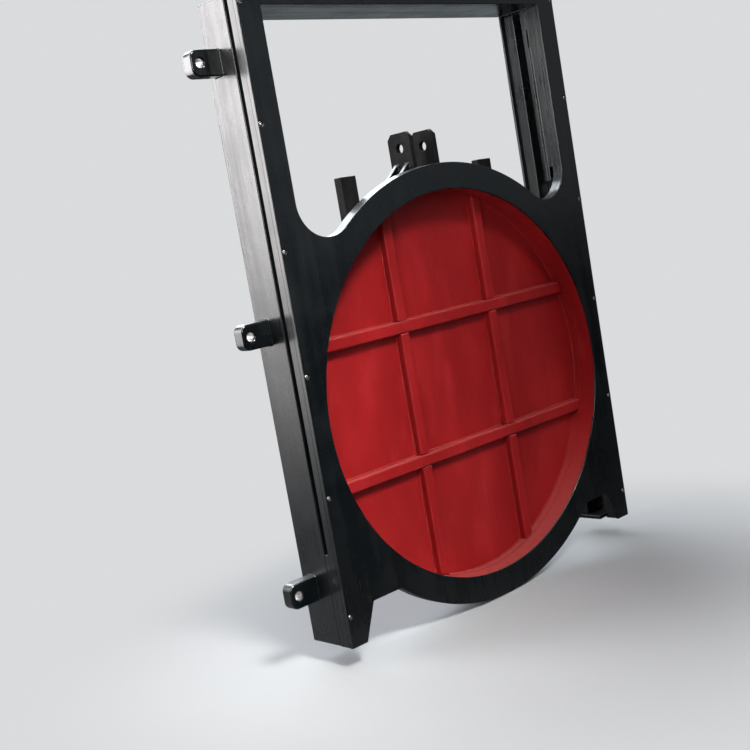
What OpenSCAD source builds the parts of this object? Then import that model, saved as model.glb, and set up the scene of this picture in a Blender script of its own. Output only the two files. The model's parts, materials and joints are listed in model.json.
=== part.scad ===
// Wall-mounted round-opening sluice gate.
// Millimetres, +Z up, +X to the right seen from the flat face, +Y from the flat face to the back.
// The origin is on the flat face, at mid width, level with the soles of the feet.

/* [Opening] */
// Diameter of the round water opening
opening_d = 1000; // [800:10:1200]
// Width of the land of the face plate around the opening
ring_land = 68; // [58:1:90]
// Depth of the tube that lines the opening, from the flat face
tube_depth = 47; // [43:1:54]
// Wall of the tube that lines the opening
tube_t = 8; // [5:0.5:10]
// Height of the opening's lowest point above the soles of the feet
invert_rise = 18; // [10:1:40]

/* [Face plate] */
// Thickness of the face plate
face_t = 12; // [8:1:16]
// Width of the face plate outside the opening, at each side
side_land = 51; // [46:1:70]
// Width of each post's face beside the window
post_face_w = 66; // [56:1:76]
// Depth of the edge strips from the flat face
edge_depth = 32; // [25:1:38]
// Thickness of the edge strips
edge_t = 10; // [6:1:12]
// Radius of the rounded notch between the arch and each post
notch_r = 86; // [60:1:100]
// Distance of the plate's straight lower edge below the opening's centre
lower_edge_drop = 430; // [380:5:440]
// Width of each foot at its sole
foot_sole_w = 47; // [40:1:60]
// Width of each foot where it leaves the plate's lower edge
foot_top_w = 87; // [70:1:100]

/* [Posts] */
// Height of the posts above the top of the opening
post_rise = 494; // [440:2:600]
// Gap between the edge strip and the guide channel, seen from the side
groove_w = 13; // [5:1:14]
// Depth of the guide channel
channel_depth = 102; // [95:1:120]
// Thickness of the guide channel's web and flanges
channel_t = 8; // [5:0.5:9]
// Height of the filler that closes the groove at the foot
filler_h = 225; // [150:5:300]
// Width of the packing bar between face plate and channel
packing_w = 36; // [24:1:40]
// Depth of the front guide bar
front_guide_depth = 15; // [12:1:20]
// How far the rear guide bar stands back from the post's inner edge
rear_guide_set = 12; // [6:1:20]
// Thickness of the plate that closes each foot
sole_t = 10; // [8:1:14]

/* [Top beam] */
// Height of the top beam
beam_h = 33; // [28:1:60]
// Thickness of the top beam's web and rear flange
beam_t = 8; // [6:1:12]

/* [Side lugs] */
// How far the side lugs stand out
lug_out = 81; // [60:1:90]
// Height of a side lug
lug_h = 61; // [50:1:80]
// Thickness of a side lug
lug_t = 34; // [20:1:38]
// Corner radius of a side lug
lug_corner_r = 18; // [8:1:20]
// Diameter of the hole in a side lug
lug_hole_d = 20; // [14:1:26]
// Distance of that hole from the lug's outer end
lug_hole_in = 23; // [20:1:30]
// Distance of a side lug's front from the flat face
lug_front = 92; // [60:1:100]
// Height of the middle side lugs above the opening's centre
lug_mid_rise = 239; // [200:1:300]
// Spacing of the side lugs
lug_pitch = 618; // [500:2:640]

/* [Leaf] */
// Thickness of the cheeks and of the lifting foot
cheek_t = 26; // [22:1:28]
// How far the leaf can lift
lift = 280; // [200:10:280]
// Thickness of the leaf's skin
skin_t = 8; // [5:0.5:10]
// Width of the leaf's round rim outside the opening
rim_w = 20; // [12:1:24]
// Width of the ribs' faces
rib_w = 31; // [20:1:40]
// Depth of the ribs in front of the skin
rib_depth = 22; // [14:1:30]
// Spacing of the two upright ribs
rib_pitch_x = 336; // [280:2:400]
// Spacing of the two level ribs
rib_pitch_z = 345; // [280:5:400]
// Height of the middle of the level ribs above the opening's centre
rib_rise = 6; // [0:1:30]
// Height of the cheeks that run in the guides
cheek_h = 660; // [500:10:700]
// Width of a cheek
cheek_w = 83; // [70:1:95]
// Thickness of the rubber seal around the opening tube
seal_t = 12; // [8:1:14]
// Depth of the rubber seal
seal_depth = 14; // [8:1:15]
// Free space between the leaf and its guides and seat
run_gap = 5; // [4:0.5:7]
// Free space between a leaf piece and the face it rests on or is welded to
rest_gap = 0.3; // [0.2:0.05:0.5]
// Height of the blocks that the cheeks rest on
stop_h = 30; // [20:1:50]

/* [Lifting ears] */
// Height of the lifting foot's top above the top of the opening
pad_rise = 36; // [34:1:60]
// Width of the lifting foot
pad_w = 230; // [180:5:260]
// Depth of the lifting foot's plate
pad_depth = 60; // [50:1:70]
// Thickness of the lifting foot's plate
pad_t = 10; // [6:1:10]
// Height of the ears above the lifting foot
ear_h = 124; // [110:1:136]
// Depth of an ear, front to back
ear_depth = 80; // [70:1:90]
// Thickness of an ear
ear_t = 14; // [10:1:18]
// Distance between the middles of the two ears
ear_pitch = 84; // [70:1:100]
// Corner cut of an ear
ear_cut = 14; // [8:1:22]
// Diameter of the pin hole in the ears
ear_hole_d = 24; // [16:1:32]
// Height of the pin hole above the lifting foot
ear_hole_rise = 84; // [70:1:96]
// Thickness of a gusset beside the ears
gusset_t = 12; // [8:1:14]
// Height of the gussets
gusset_h = 48; // [36:1:70]
// Width of a gusset at its foot
gusset_foot = 56; // [40:1:64]
// Distance between the middles of the front and rear gussets
gusset_pitch = 40; // [32:1:46]

/* [Shoulder blocks] */
// Width of a shoulder block
block_w = 50; // [40:1:60]
// Height of a shoulder block's top above the top of the leaf's rim
block_rise = 48; // [30:1:70]
// Distance of a shoulder block's middle from the gate's middle
block_x = 250; // [220:1:260]

/* [Hidden] */
$fn = 96;
opening_r = opening_d / 2;
ring_r = opening_r + ring_land;
tube_r = opening_r + tube_t;
seal_r = tube_r + seal_t;
half_w = opening_r + side_land;
post_in = half_w - post_face_w;
centre_h = opening_r + invert_rise;
top_h = centre_h + opening_r + post_rise;
beam_z = top_h - beam_h;

notch_x = post_in - notch_r;
notch_z = sqrt(pow(ring_r + notch_r, 2) - pow(notch_x, 2));
notch_angle = atan2(notch_z, notch_x);
lower_angle = asin(lower_edge_drop / ring_r);
lap_angle = 1;

channel_y = edge_depth + groove_w;
back_y = channel_y + channel_depth;
guide_back_y = channel_y + channel_t + front_guide_depth;
leaf_y = tube_depth + run_gap;
skin_y = leaf_y + rib_depth;
cheek_y = guide_back_y + run_gap;
leaf_back_y = cheek_y + cheek_t;
leaf_mid_y = cheek_y + cheek_t / 2;
rear_guide_y = leaf_back_y + run_gap;
web_x = half_w - channel_t;
cheek_x = web_x - 2 * run_gap;
rim_r = opening_r + rim_w;
relief_z = centre_h + lift + sqrt(pow(rim_r, 2) - pow(post_in - run_gap, 2));
stop_top_z = centre_h - cheek_h / 2 - rest_gap;
pad_z = centre_h + opening_r + pad_rise;
lug_heights = [for (k = [-1, 0, 1]) centre_h + lug_mid_rise + k * lug_pitch];
reach = 2 * top_h;

black_paint = [0.07, 0.09, 0.10];
red_paint = [0.60, 0.10, 0.10];
rubber = [0.05, 0.05, 0.05];

// Extrudes an outline drawn in X and Z, from depth y over a thickness t.
module slab(y, t) {
    translate([0, y + t, 0]) rotate([90, 0, 0]) linear_extrude(t) children();
}

// Extrudes an outline drawn in Y and Z, from x over a thickness t.
module side_slab(x, t) {
    translate([x, 0, 0]) rotate([90, 0, 90]) linear_extrude(t) children();
}

// A box between two corners.
module span(a, b) {
    translate(a) cube(b - a);
}

// Shows its children at the right, or mirrored to the left.
module on_side(side) {
    mirror([side < 0 ? 1 : 0, 0, 0]) children();
}

// A round column about the opening's axis.
module opening_column(r, y, t) {
    translate([0, y + t, centre_h]) rotate([90, 0, 0]) cylinder(h = t, r = r);
}

// The wedge of the plane between two angles, out to radius r.
module sector(a, b, r) {
    steps = 8;
    polygon(concat([[0, 0]],
        [for (k = [0 : steps]) r * [cos(a + (b - a) * k / steps), sin(a + (b - a) * k / steps)]]));
}

// Part of a flat ring between two angles.
module band(inner_r, outer_r, a, b) {
    intersection() {
        difference() {
            circle(r = outer_r);
            circle(r = inner_r);
        }
        sector(a, b, 2 * outer_r);
    }
}

// Outline of the right half of the notch's fill, between arch and post.
module notch_fill() {
    difference() {
        polygon([[0, 0], [post_in, 0], [post_in, notch_z], [notch_x, notch_z],
            ring_r * [cos(notch_angle), sin(notch_angle)]]);
        translate([notch_x, notch_z]) circle(r = notch_r);
    }
}

// Outline of a post's face with its tapered foot, at the right.
module post_outline() {
    polygon([[half_w - foot_sole_w, -centre_h], [half_w, -centre_h], [half_w, top_h - centre_h],
        [post_in, top_h - centre_h], [post_in, -lower_edge_drop],
        [half_w - foot_top_w, -lower_edge_drop]]);
}

module face_plate() {
    color(black_paint) slab(0, face_t) translate([0, centre_h]) difference() {
        union() {
            intersection() {
                circle(r = ring_r);
                square([2 * half_w, 2 * ring_r], center = true);
            }
            for (side = [0, 1]) mirror([side, 0]) {
                notch_fill();
                post_outline();
                translate([0, -lower_edge_drop]) square([post_in, lower_edge_drop]);
            }
            translate([-half_w, beam_z - centre_h]) square([2 * half_w, beam_h]);
        }
        circle(r = opening_r);
    }
}

module opening_tube() {
    color(red_paint) difference() {
        opening_column(tube_r, face_t, tube_depth - face_t);
        opening_column(opening_r, 0, tube_depth + face_t);
    }
}

module arch_flange() {
    color(black_paint) slab(face_t, edge_depth - face_t) translate([0, centre_h]) union() {
        band(ring_r - edge_t, ring_r, notch_angle - lap_angle, 180 - notch_angle + lap_angle);
        for (side = [0, 1]) mirror([side, 0])
            translate([notch_x, notch_z]) band(notch_r, notch_r + edge_t, notch_angle - 180, 0);
    }
}

module lower_flange() {
    color(black_paint) slab(face_t, edge_depth - face_t) translate([0, centre_h])
        band(ring_r - edge_t, ring_r, lower_angle - 180, -lower_angle);
}

module edge_strip(side) {
    color(black_paint) on_side(side)
        span([half_w - edge_t, face_t, 0], [half_w, edge_depth, top_h]);
}

module inner_wall(side) {
    color(black_paint) on_side(side)
        span([post_in, face_t, centre_h + notch_z], [post_in + edge_t, channel_y, top_h]);
}

module packing_bar(side) {
    color(black_paint) on_side(side) difference() {
        span([half_w - edge_t - packing_w, face_t, 0], [half_w - edge_t, channel_y, top_h]);
        opening_column(seal_r + rest_gap, 0, back_y);
    }
}

// The room that the leaf's rim needs in front of the cheeks' slots.
module rim_passage() {
    span([-half_w, channel_y - channel_t, -channel_t], [rim_r + run_gap, cheek_y, relief_z]);
}

module guide_channel(side) {
    color(black_paint) on_side(side) difference() {
        span([post_in, channel_y, 0], [half_w, back_y, top_h]);
        span([-half_w, channel_y + channel_t, -channel_t], [web_x, back_y - channel_t, reach]);
        rim_passage();
    }
}

module front_guide(side) {
    color(black_paint) on_side(side) difference() {
        span([post_in, channel_y + channel_t, sole_t], [web_x, guide_back_y, beam_z]);
        rim_passage();
    }
}

module rear_guide(side) {
    color(black_paint) on_side(side) span([post_in + rear_guide_set, rear_guide_y, sole_t],
        [web_x, back_y - channel_t, beam_z]);
}

module foot_filler(side) {
    color(black_paint) on_side(side)
        span([half_w - edge_t, edge_depth, 0], [half_w, channel_y, filler_h]);
}

module foot_sole(side) {
    color(black_paint) on_side(side)
        span([post_in, channel_y + channel_t, 0], [web_x, back_y - channel_t, sole_t]);
}

module top_beam() {
    color(black_paint) union() {
        span([-post_in, face_t, beam_z], [post_in, back_y, beam_z + beam_t]);
        span([-post_in, back_y - beam_t, beam_z], [post_in, back_y, top_h]);
    }
}

// A rounded plate with one hole, standing out from the channel's web.
module side_lug(side, z) {
    corner_x = half_w + lug_out - lug_corner_r;
    color(black_paint) on_side(side) slab(lug_front, lug_t) translate([0, z]) difference() {
        union() {
            translate([half_w, -lug_h / 2]) square([lug_out - lug_corner_r, lug_h]);
            translate([half_w, lug_corner_r - lug_h / 2])
                square([lug_out, lug_h - 2 * lug_corner_r]);
            for (k = [-1, 1]) translate([corner_x, k * (lug_h / 2 - lug_corner_r)])
                circle(r = lug_corner_r);
        }
        translate([half_w + lug_out - lug_hole_in, 0]) circle(d = lug_hole_d);
    }
}

module leaf_stop(side) {
    color(black_paint) on_side(side) span([post_in + rear_guide_set, guide_back_y,
        stop_top_z - stop_h], [web_x, rear_guide_y, stop_top_z]);
}

module tube_seal() {
    color(rubber) difference() {
        opening_column(seal_r, tube_depth - seal_depth, seal_depth);
        opening_column(tube_r, 0, back_y);
    }
}

module leaf_skin() {
    color(red_paint) opening_column(opening_r, skin_y, skin_t);
}

module leaf_rim() {
    color(red_paint) difference() {
        opening_column(rim_r, leaf_y, leaf_back_y - leaf_y);
        opening_column(opening_r, 0, back_y);
    }
}

module level_rib(z) {
    color(red_paint) intersection() {
        span([-opening_r, leaf_y, centre_h + z - rib_w / 2],
            [opening_r, skin_y, centre_h + z + rib_w / 2]);
        opening_column(opening_r, leaf_y, rib_depth);
    }
}

// An upright rib in three lengths, which butt against the level ribs.
module upright_rib(x) {
    low = rib_rise - rib_pitch_z / 2;
    high = rib_rise + rib_pitch_z / 2;
    color(red_paint) difference() {
        intersection() {
            span([x - rib_w / 2, leaf_y, centre_h - opening_r],
                [x + rib_w / 2, skin_y, centre_h + opening_r]);
            opening_column(opening_r, leaf_y, rib_depth);
        }
        for (z = [low, high]) span([-opening_r, 0, centre_h + z - rib_w / 2],
            [opening_r, leaf_back_y, centre_h + z + rib_w / 2]);
    }
}

module cheek(side) {
    color(red_paint) on_side(side) difference() {
        span([cheek_x - cheek_w, cheek_y, centre_h - cheek_h / 2],
            [cheek_x, leaf_back_y, centre_h + cheek_h / 2]);
        opening_column(rim_r + rest_gap, 0, back_y);
    }
}

module lifting_foot() {
    color(black_paint) difference() {
        span([-pad_w / 2, cheek_y, centre_h], [pad_w / 2, leaf_back_y, pad_z - pad_t]);
        opening_column(rim_r + rest_gap, 0, back_y);
    }
}

module lifting_pad() {
    color(black_paint) span([-pad_w / 2, leaf_mid_y - pad_depth / 2, pad_z - pad_t],
        [pad_w / 2, leaf_mid_y + pad_depth / 2, pad_z]);
}

module ear(side) {
    half = ear_depth / 2;
    color(black_paint) on_side(side) side_slab(ear_pitch / 2 - ear_t / 2, ear_t)
        translate([leaf_mid_y, pad_z]) difference() {
            polygon([[ear_cut - half, 0], [half - ear_cut, 0], [half, ear_cut],
                [half, ear_h - ear_cut], [half - ear_cut, ear_h], [ear_cut - half, ear_h],
                [-half, ear_h - ear_cut], [-half, ear_cut]]);
            translate([0, ear_hole_rise]) circle(d = ear_hole_d);
        }
}

// Four upright triangles that brace the ears from outside.
module ear_gussets() {
    foot_x = ear_pitch / 2 + ear_t / 2;
    color(black_paint) for (side = [-1, 1]) on_side(side) for (k = [-1, 1])
        slab(leaf_mid_y + k * gusset_pitch / 2 - gusset_t / 2, gusset_t) translate([0, pad_z])
            polygon([[foot_x, 0], [foot_x + gusset_foot, 0], [foot_x, gusset_h]]);
}

module shoulder_block(side) {
    color(black_paint) on_side(side) difference() {
        span([block_x - block_w / 2, cheek_y, centre_h],
            [block_x + block_w / 2, leaf_back_y, centre_h + rim_r + block_rise]);
        opening_column(rim_r + rest_gap, 0, back_y);
    }
}

face_plate();
opening_tube();
arch_flange();
lower_flange();
edge_strip(-1);  // left_edge_strip
edge_strip(1);  // right_edge_strip
inner_wall(-1);  // left_inner_wall
inner_wall(1);  // right_inner_wall
packing_bar(-1);  // left_packing_bar
packing_bar(1);  // right_packing_bar
guide_channel(-1);  // left_guide_channel
guide_channel(1);  // right_guide_channel
front_guide(-1);  // left_front_guide
front_guide(1);  // right_front_guide
rear_guide(-1);  // left_rear_guide
rear_guide(1);  // right_rear_guide
foot_filler(-1);  // left_foot_filler
foot_filler(1);  // right_foot_filler
foot_sole(-1);  // left_foot_sole
foot_sole(1);  // right_foot_sole
top_beam();
side_lug(-1, lug_heights[0]);  // left_bottom_lug
side_lug(-1, lug_heights[1]);  // left_middle_lug
side_lug(-1, lug_heights[2]);  // left_top_lug
side_lug(1, lug_heights[0]);  // right_bottom_lug
side_lug(1, lug_heights[1]);  // right_middle_lug
side_lug(1, lug_heights[2]);  // right_top_lug
leaf_stop(-1);  // left_leaf_stop
leaf_stop(1);  // right_leaf_stop
tube_seal();
leaf_skin();
leaf_rim();
level_rib(rib_rise + rib_pitch_z / 2);  // upper_level_rib
level_rib(rib_rise - rib_pitch_z / 2);  // lower_level_rib
upright_rib(-rib_pitch_x / 2);  // left_upright_rib
upright_rib(rib_pitch_x / 2);  // right_upright_rib
cheek(-1);  // left_cheek
cheek(1);  // right_cheek
lifting_foot();
lifting_pad();
ear(-1);  // left_ear
ear(1);  // right_ear
ear_gussets();
shoulder_block(-1);  // left_shoulder_block
shoulder_block(1);  // right_shoulder_block
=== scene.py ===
"""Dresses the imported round-opening sluice gate with its paint, rounded edges, welds and screws."""

import json
import logging
import math
from dataclasses import dataclass, field
from enum import Enum
from typing import Any, Callable

import bmesh
import bpy
from mathutils import Matrix, Vector

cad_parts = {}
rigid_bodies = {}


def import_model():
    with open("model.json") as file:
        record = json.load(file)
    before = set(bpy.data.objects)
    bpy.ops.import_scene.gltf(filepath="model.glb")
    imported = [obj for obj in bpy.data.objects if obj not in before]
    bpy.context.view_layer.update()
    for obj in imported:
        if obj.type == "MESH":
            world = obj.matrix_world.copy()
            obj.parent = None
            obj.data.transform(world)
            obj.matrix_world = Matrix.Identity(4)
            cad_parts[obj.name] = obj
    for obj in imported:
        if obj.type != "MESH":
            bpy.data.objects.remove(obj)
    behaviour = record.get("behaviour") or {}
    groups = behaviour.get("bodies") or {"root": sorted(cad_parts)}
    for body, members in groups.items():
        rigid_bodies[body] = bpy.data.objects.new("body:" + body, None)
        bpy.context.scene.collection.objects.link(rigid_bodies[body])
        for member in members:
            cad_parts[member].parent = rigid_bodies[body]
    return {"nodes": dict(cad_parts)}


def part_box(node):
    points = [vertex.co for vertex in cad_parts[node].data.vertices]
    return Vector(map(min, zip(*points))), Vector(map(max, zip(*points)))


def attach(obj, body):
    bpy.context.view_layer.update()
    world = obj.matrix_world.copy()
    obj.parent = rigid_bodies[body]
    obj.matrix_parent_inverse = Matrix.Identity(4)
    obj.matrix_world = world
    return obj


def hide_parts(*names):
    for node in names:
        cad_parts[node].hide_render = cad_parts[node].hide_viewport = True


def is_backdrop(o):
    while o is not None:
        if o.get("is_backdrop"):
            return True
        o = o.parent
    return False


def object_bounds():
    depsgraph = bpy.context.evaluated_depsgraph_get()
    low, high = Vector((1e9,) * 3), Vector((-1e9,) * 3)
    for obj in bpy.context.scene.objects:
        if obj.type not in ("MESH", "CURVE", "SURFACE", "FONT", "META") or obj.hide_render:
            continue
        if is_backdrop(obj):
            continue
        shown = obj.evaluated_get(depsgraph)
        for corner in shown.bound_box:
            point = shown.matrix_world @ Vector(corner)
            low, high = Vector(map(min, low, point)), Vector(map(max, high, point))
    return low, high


LOG = logging.getLogger("sluice_gate")

Point2 = tuple[float, float]
Point3 = tuple[float, float, float]
Loop = list[Point2]
Socket = bpy.types.NodeSocket
Shape = bmesh.types.BMesh

EVEN: Point3 = (1.0, 1.0, 1.0)
SHARP = math.radians(50)
SIDES = ("left", "right")
RING_STEPS = 288
HOLE_STEPS = 40
SCREW_STEPS = 24


class Grain(Enum):
    """The direction that the brush followed: how much a pattern is stretched along X, Y and Z."""

    UPRIGHT = (1.0, 1.0, 0.045)
    LEVEL = (0.045, 1.0, 1.0)
    ROUND = EVEN


class Facing(Enum):
    """The plane that a plate's outline is drawn in."""

    FRONT = "x and z, thickness along y"
    SIDE = "y and z, thickness along x"


def colour(value: Any) -> Any:
    """Returns a colour of three numbers with alpha, and anything else as it is."""
    return (*value, 1.0) if isinstance(value, tuple) and len(value) == 3 else value


class Graph:
    """Adds and links the nodes of one tree."""

    def __init__(self, tree: bpy.types.NodeTree) -> None:
        """Starts on a tree."""
        self.tree = tree

    def feed(self, node: bpy.types.Node, inputs: dict[Any, Any]) -> None:
        """Sets or links a node's inputs.

        Args:
            node: The node.
            inputs: Values or output sockets, by input name or index.
        """
        for key, value in inputs.items():
            if isinstance(value, Socket):
                self.tree.links.new(value, node.inputs[key])
            else:
                node.inputs[key].default_value = value

    def node(self, kind: str, inputs: dict[Any, Any] | None = None, **settings: Any) -> bpy.types.Node:
        """Adds a node, then sets or links its inputs.

        Args:
            kind: The node's type.
            inputs: Values or output sockets, by input name or index.
            settings: Attributes of the node.

        Returns:
            The new node.
        """
        made = self.tree.nodes.new(kind)
        for name, value in settings.items():
            setattr(made, name, value)
        self.feed(made, inputs or {})
        return made

    def part(self, vector: Socket, axis: str) -> Socket:
        """Returns the X, Y or Z of a vector."""
        return self.node("ShaderNodeSeparateXYZ", {"Vector": vector}).outputs[axis]

    def maths(self, operation: str, first: Any, second: Any) -> Socket:
        """Returns the result of a Math node on two values or sockets."""
        return self.node("ShaderNodeMath", {0: first, 1: second}, operation=operation).outputs["Value"]

    def span(self, value: Socket, low: float, high: float, to_low: float = 0, to_high: float = 1) -> Socket:
        """Maps a value from one range to another.

        Args:
            value: The value.
            low: Where the first range starts.
            high: Where it ends. Below low, the map is straight instead of smooth.
            to_low: What low turns into.
            to_high: What high turns into.

        Returns:
            The mapped value, kept within the second range.
        """
        keys = {"Value": value, "From Min": low, "From Max": high, "To Min": to_low, "To Max": to_high}
        kind = "SMOOTHSTEP" if high > low else "LINEAR"
        return self.node("ShaderNodeMapRange", keys, interpolation_type=kind).outputs["Result"]


class ShaderGraph(Graph):
    """The nodes of one material, around its Principled shader."""

    def __init__(self, name: str) -> None:
        """Makes the material.

        Args:
            name: The material's name.
        """
        self.material = bpy.data.materials.new(name)
        self.material.use_nodes = True
        super().__init__(self.material.node_tree)
        self.shader = self.tree.nodes["Principled BSDF"]
        self.place = self.node("ShaderNodeTexCoord").outputs["Object"]

    def stretched(self, stretch: Point3) -> Socket:
        """Returns object coordinates scaled by a stretch along X, Y and Z."""
        return self.node("ShaderNodeMapping", {"Vector": self.place, "Scale": stretch}).outputs["Vector"]

    def noise(self, scale: float, detail: float, stretch: Point3 = EVEN, rough: float = 0.55) -> Socket:
        """Adds a noise pattern.

        Args:
            scale: Lumps per metre.
            detail: Octaves.
            stretch: Scale along X, Y and Z, under 1 to draw the pattern out.
            rough: How strong the finer octaves are.

        Returns:
            A value around one half.
        """
        keys = {"Vector": self.stretched(stretch), "Scale": scale, "Detail": detail, "Roughness": rough}
        return self.node("ShaderNodeTexNoise", keys).outputs["Fac"]

    def spots(self, scale: float, size: float, stretch: Point3 = EVEN) -> Socket:
        """Adds round spots at random places.

        Args:
            scale: Cells per metre.
            size: Radius of a spot, as a share of a cell.
            stretch: Scale along X, Y and Z.

        Returns:
            A value that is 1 in a spot's middle and 0 outside it.
        """
        cells = self.node("ShaderNodeTexVoronoi", {"Vector": self.stretched(stretch), "Scale": scale})
        return self.span(cells.outputs["Distance"], size, 0.0)

    def blend(self, factor: Any, first: Any, second: Any) -> Socket:
        """Returns a colour between two colours or sockets."""
        keys = {"Factor": factor, 6: colour(first), 7: colour(second)}
        return self.node("ShaderNodeMix", keys, data_type="RGBA").outputs[2]

    def sum_of(self, *parts: tuple[Socket, float]) -> Socket:
        """Adds several patterns up.

        Args:
            parts: Pairs of a socket and its weight.

        Returns:
            The weighted sum.
        """
        total: Any = 0.0
        for socket, weight in parts:
            keys = {0: socket, 1: weight, 2: total}
            total = self.node("ShaderNodeMath", keys, operation="MULTIPLY_ADD").outputs["Value"]
        return total

    def upward(self, most: float = 1.0) -> Socket:
        """Returns how much the surface looks up, from 0 to the most."""
        normal = self.node("ShaderNodeNewGeometry").outputs["Normal"]
        return self.span(self.part(normal, "Z"), 0.35, 0.95, 0.0, most)

    def finish(self, inputs: dict[str, Any], height: Any, depth: float) -> bpy.types.Material:
        """Sets the shader's inputs and its bump.

        Args:
            inputs: Values that are the same all over, and sockets, by the shader's input name.
            height: The bump's height socket.
            depth: The height of the bump, in metres.

        Returns:
            The finished material.
        """
        bump = self.node("ShaderNodeBump", {"Height": height, "Distance": depth, "Strength": 1.0})
        self.feed(self.shader, {**inputs, "Normal": bump.outputs["Normal"]})
        return self.material


@dataclass(frozen=True)
class BlackEnamel:
    """Glossy black enamel, brushed thickly over rough rolled steel."""

    name: str
    grain: Grain = Grain.UPRIGHT
    deep: Point3 = (0.0015, 0.0025, 0.0033)
    worn: Point3 = (0.0046, 0.0062, 0.0071)
    dust: Point3 = (0.10, 0.10, 0.095)
    dust_share: float = 0.30
    gloss: tuple[float, float] = (0.20, 0.42)
    relief: float = 0.0011

    def build(self) -> bpy.types.Material:
        """Makes the material.

        Returns:
            The finished material.
        """
        graph = ShaderGraph(self.name)
        strokes = graph.noise(150, 4, self.grain.value, 0.62)
        sweeps = graph.noise(34, 3, self.grain.value)
        mottle = graph.noise(9, 4)
        lumps = graph.noise(46, 3)
        peel = graph.noise(420, 2)
        nibs = graph.spots(95, 0.16)
        runs = graph.spots(30, 0.30, (1.0, 1.0, 0.16))
        film = graph.blend(graph.span(mottle, 0.35, 0.7), self.deep, self.worn)
        film = graph.blend(graph.span(strokes, 0.5, 0.8, 0.0, 0.45), film, self.worn)
        settled = graph.span(lumps, 0.3, 0.7, self.dust_share / 2, self.dust_share)
        dusty = graph.maths("MULTIPLY", graph.upward(), settled)
        sheen = graph.span(graph.sum_of((sweeps, 0.55), (mottle, 0.45)), 0.36, 0.66, *self.gloss)
        return graph.finish(
            {
                "Specular IOR Level": 0.62,
                "Coat Weight": 0.55,
                "Coat Roughness": 0.16,
                "Coat IOR": 1.5,
                "Base Color": graph.blend(dusty, film, self.dust),
                "Roughness": graph.maths("ADD", sheen, graph.maths("MULTIPLY", dusty, 0.6)),
            },
            graph.sum_of(
                (strokes, 0.30), (sweeps, 0.75), (lumps, 0.50), (peel, 0.05), (nibs, 0.30), (runs, 0.07)
            ),
            self.relief,
        )


@dataclass(frozen=True)
class RoughEnamel:
    """Thin dull black paint over scaled plate, as on the lifting pieces."""

    name: str
    deep: Point3 = (0.0065, 0.0068, 0.0078)
    worn: Point3 = (0.017, 0.0155, 0.0155)
    dust: Point3 = (0.12, 0.115, 0.11)
    relief: float = 0.0008

    def build(self) -> bpy.types.Material:
        """Makes the material.

        Returns:
            The finished material.
        """
        graph = ShaderGraph(self.name)
        mottle = graph.noise(22, 5)
        scale = graph.noise(130, 4, rough=0.65)
        pits = graph.spots(160, 0.3)
        film = graph.blend(graph.span(mottle, 0.4, 0.68), self.deep, self.worn)
        return graph.finish(
            {
                "Specular IOR Level": 0.14,
                "Base Color": graph.blend(graph.upward(0.22), film, self.dust),
                "Roughness": graph.span(scale, 0.35, 0.7, 0.46, 0.70),
            },
            graph.sum_of((mottle, 0.5), (scale, 0.5), (pits, -0.2)),
            self.relief,
        )


@dataclass(frozen=True)
class RedEnamel:
    """Satin red enamel, rolled on in upright strokes."""

    name: str
    body: Point3 = (0.310, 0.0095, 0.0105)
    shade: Point3 = (0.235, 0.0070, 0.0080)
    light: Point3 = (0.380, 0.020, 0.022)
    dust: Point3 = (0.46, 0.17, 0.15)
    relief: float = 0.0007

    def build(self) -> bpy.types.Material:
        """Makes the material.

        Returns:
            The finished material.
        """
        graph = ShaderGraph(self.name)
        strokes = graph.noise(70, 4, Grain.UPRIGHT.value, 0.6)
        clouds = graph.noise(5.5, 4, (1.0, 1.0, 0.5))
        patches = graph.noise(16, 3, (1.0, 1.0, 0.4))
        peel = graph.noise(380, 2)
        nibs = graph.spots(80, 0.13)
        film = graph.blend(graph.span(clouds, 0.36, 0.64), self.shade, self.body)
        film = graph.blend(graph.span(patches, 0.5, 0.78, 0.0, 0.55), film, self.light)
        film = graph.blend(graph.span(strokes, 0.52, 0.8, 0.0, 0.4), film, self.shade)
        satin = graph.sum_of((strokes, 0.5), (clouds, 0.5))
        return graph.finish(
            {
                "Specular IOR Level": 0.24,
                "Coat Weight": 0.05,
                "Coat Roughness": 0.22,
                "Base Color": graph.blend(graph.upward(0.22), film, self.dust),
                "Roughness": graph.span(satin, 0.35, 0.65, 0.34, 0.56),
            },
            graph.sum_of((strokes, 0.55), (patches, 0.8), (peel, 0.05), (nibs, 0.30)),
            self.relief,
        )


@dataclass(frozen=True)
class BareSteel:
    """Drilled or worn steel, dull and pale."""

    name: str
    metal: Point3 = (0.62, 0.60, 0.58)
    dull: Point3 = (0.36, 0.34, 0.32)
    relief: float = 0.0002

    def build(self) -> bpy.types.Material:
        """Makes the material.

        Returns:
            The finished material.
        """
        graph = ShaderGraph(self.name)
        scuffs = graph.noise(260, 3)
        film = graph.blend(graph.span(scuffs, 0.35, 0.7), self.metal, self.dull)
        return graph.finish({"Metallic": 0.85, "Roughness": 0.38, "Base Color": film}, scuffs, self.relief)


@dataclass(frozen=True)
class SealRubber:
    """Matt black rubber."""

    name: str
    body: Point3 = (0.012, 0.012, 0.013)
    bloomed: Point3 = (0.035, 0.034, 0.033)
    relief: float = 0.0002

    def build(self) -> bpy.types.Material:
        """Makes the material.

        Returns:
            The finished material.
        """
        graph = ShaderGraph(self.name)
        bloom = graph.noise(30, 4)
        grain = graph.noise(500, 2)
        film = graph.blend(graph.span(bloom, 0.4, 0.7), self.body, self.bloomed)
        matt = graph.span(bloom, 0.3, 0.7, 0.6, 0.8)
        inputs = {"Specular IOR Level": 0.35, "Base Color": film, "Roughness": matt}
        return graph.finish(inputs, grain, self.relief)


@dataclass(frozen=True)
class Paint:
    """A finished material, with the name of its slot in the record."""

    material: bpy.types.Material
    slot: str = "black_paint"


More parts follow.
